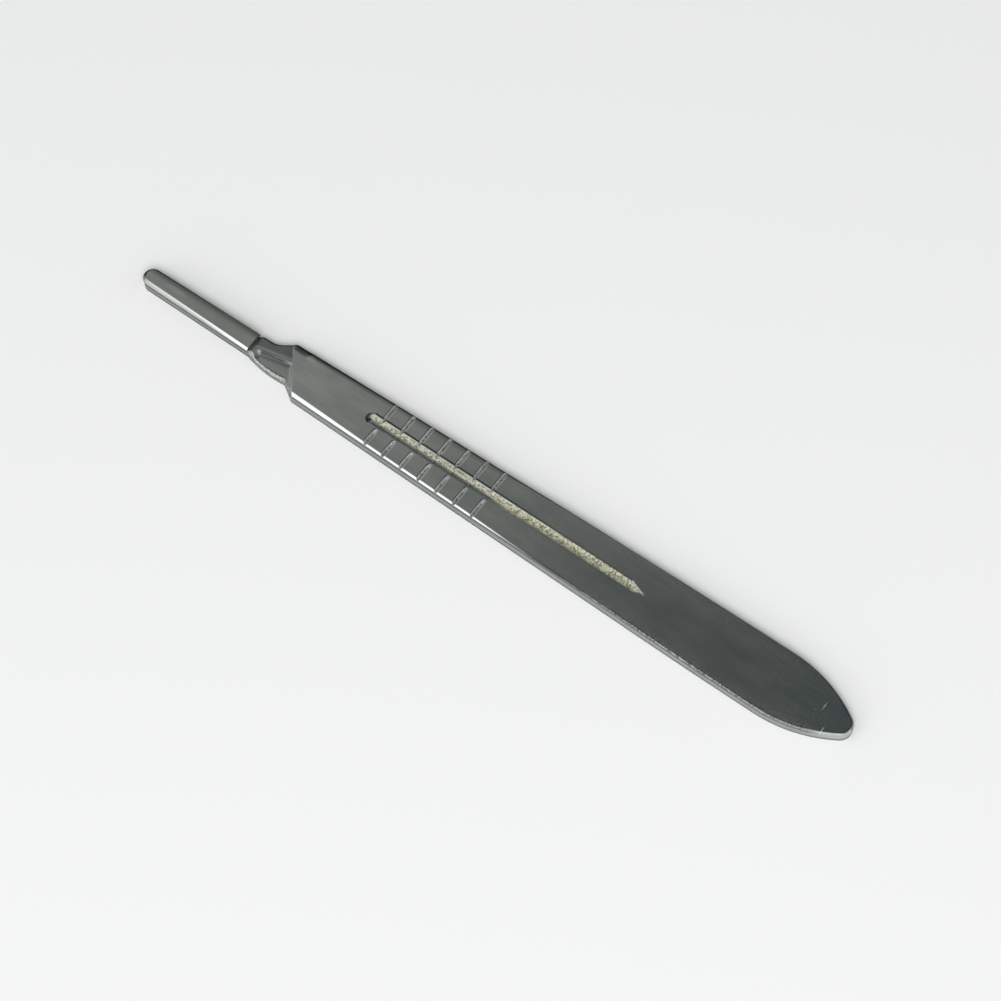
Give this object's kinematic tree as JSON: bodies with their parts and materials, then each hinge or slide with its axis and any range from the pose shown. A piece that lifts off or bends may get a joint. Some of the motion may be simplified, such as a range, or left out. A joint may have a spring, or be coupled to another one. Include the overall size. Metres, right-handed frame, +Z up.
{
  "type": "scalpel handle",
  "caption": "Flat forged steel scalpel handle: slotted blade fitting, slanted heel, long centre groove, cross lines for grip and a tail shaped like a pointed arch.",
  "frame": {"origin": "on the flat back, under the middle of the handle's length, on its centre line", "axes": "+X from the blade end to the tail, +Z up out of the front face, +Y to the side of the front shoulder corner"},
  "size_m": [0.138, 0.0114, 0.0029],
  "materials": {
    "steel": "satin, ground lengthwise, with bright worn bevels"
  },
  "bodies": {
    "root": {"handle": "steel"}
  },
  "joints": []
}
